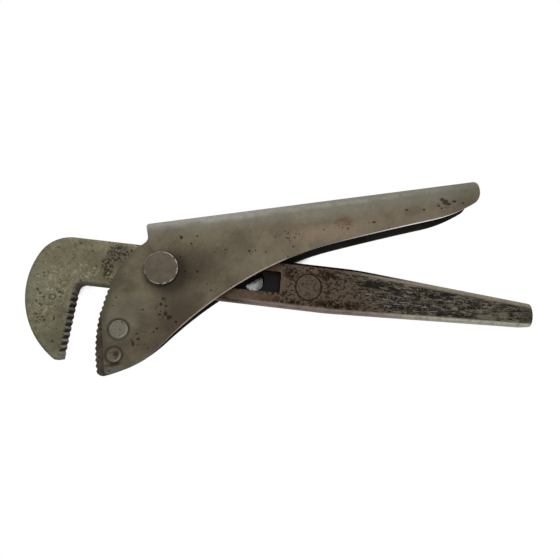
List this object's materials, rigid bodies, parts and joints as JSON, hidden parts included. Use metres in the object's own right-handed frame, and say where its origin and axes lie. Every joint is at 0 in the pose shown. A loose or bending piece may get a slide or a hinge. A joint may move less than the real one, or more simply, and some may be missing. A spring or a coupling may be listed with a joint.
{
  "type": "pipe wrench",
  "caption": "Two-handled pipe wrench: a folded channel handle with a curved toothed jaw, pinned to a forged bar with a toothed hook jaw and a row of holes that set the opening.",
  "frame": {"origin": "centre of the bounding box in plan, on the plane of the far cheek's outer face, which the tool lies on", "axes": "+X along the outer handle's back towards its free end, +Y out of that back, +Z through the thickness towards the pin's head"},
  "size_m": [0.2252, 0.075, 0.018],
  "materials": {
    "pressed_steel": "old grey-brown patina with pits and worn bright edges",
    "jaw_steel": "dark brown hardened steel",
    "rivet_steel": "hammered and ground flush",
    "forged_steel": "forging scale, worn through on the edges",
    "pin_steel": "turned, brown patina",
    "spring_steel": "plain spring wire"
  },
  "bodies": {
    "outer_handle": {"outer_handle": "pressed_steel", "jaw_insert": "jaw_steel", "upper_jaw_rivet": "rivet_steel", "lower_jaw_rivet": "rivet_steel"},
    "inner_handle": {"inner_handle": "forged_steel"},
    "pivot_pin": {"pivot_pin": "pin_steel", "pin_spring_ring": "spring_steel"}
  },
  "joints": [
    {"name": "handle_pivot", "type": "hinge", "parent": "outer_handle", "child": "inner_handle", "pos_m": [-0.05776, 0.01684, 0.008], "axis": [0, 0, 1], "range_deg": [-31, 20]},
    {"name": "pin_pull", "type": "slide", "parent": "outer_handle", "child": "pivot_pin", "axis": [0, 0, 1], "range_m": [0, 0.018]}
  ]
}
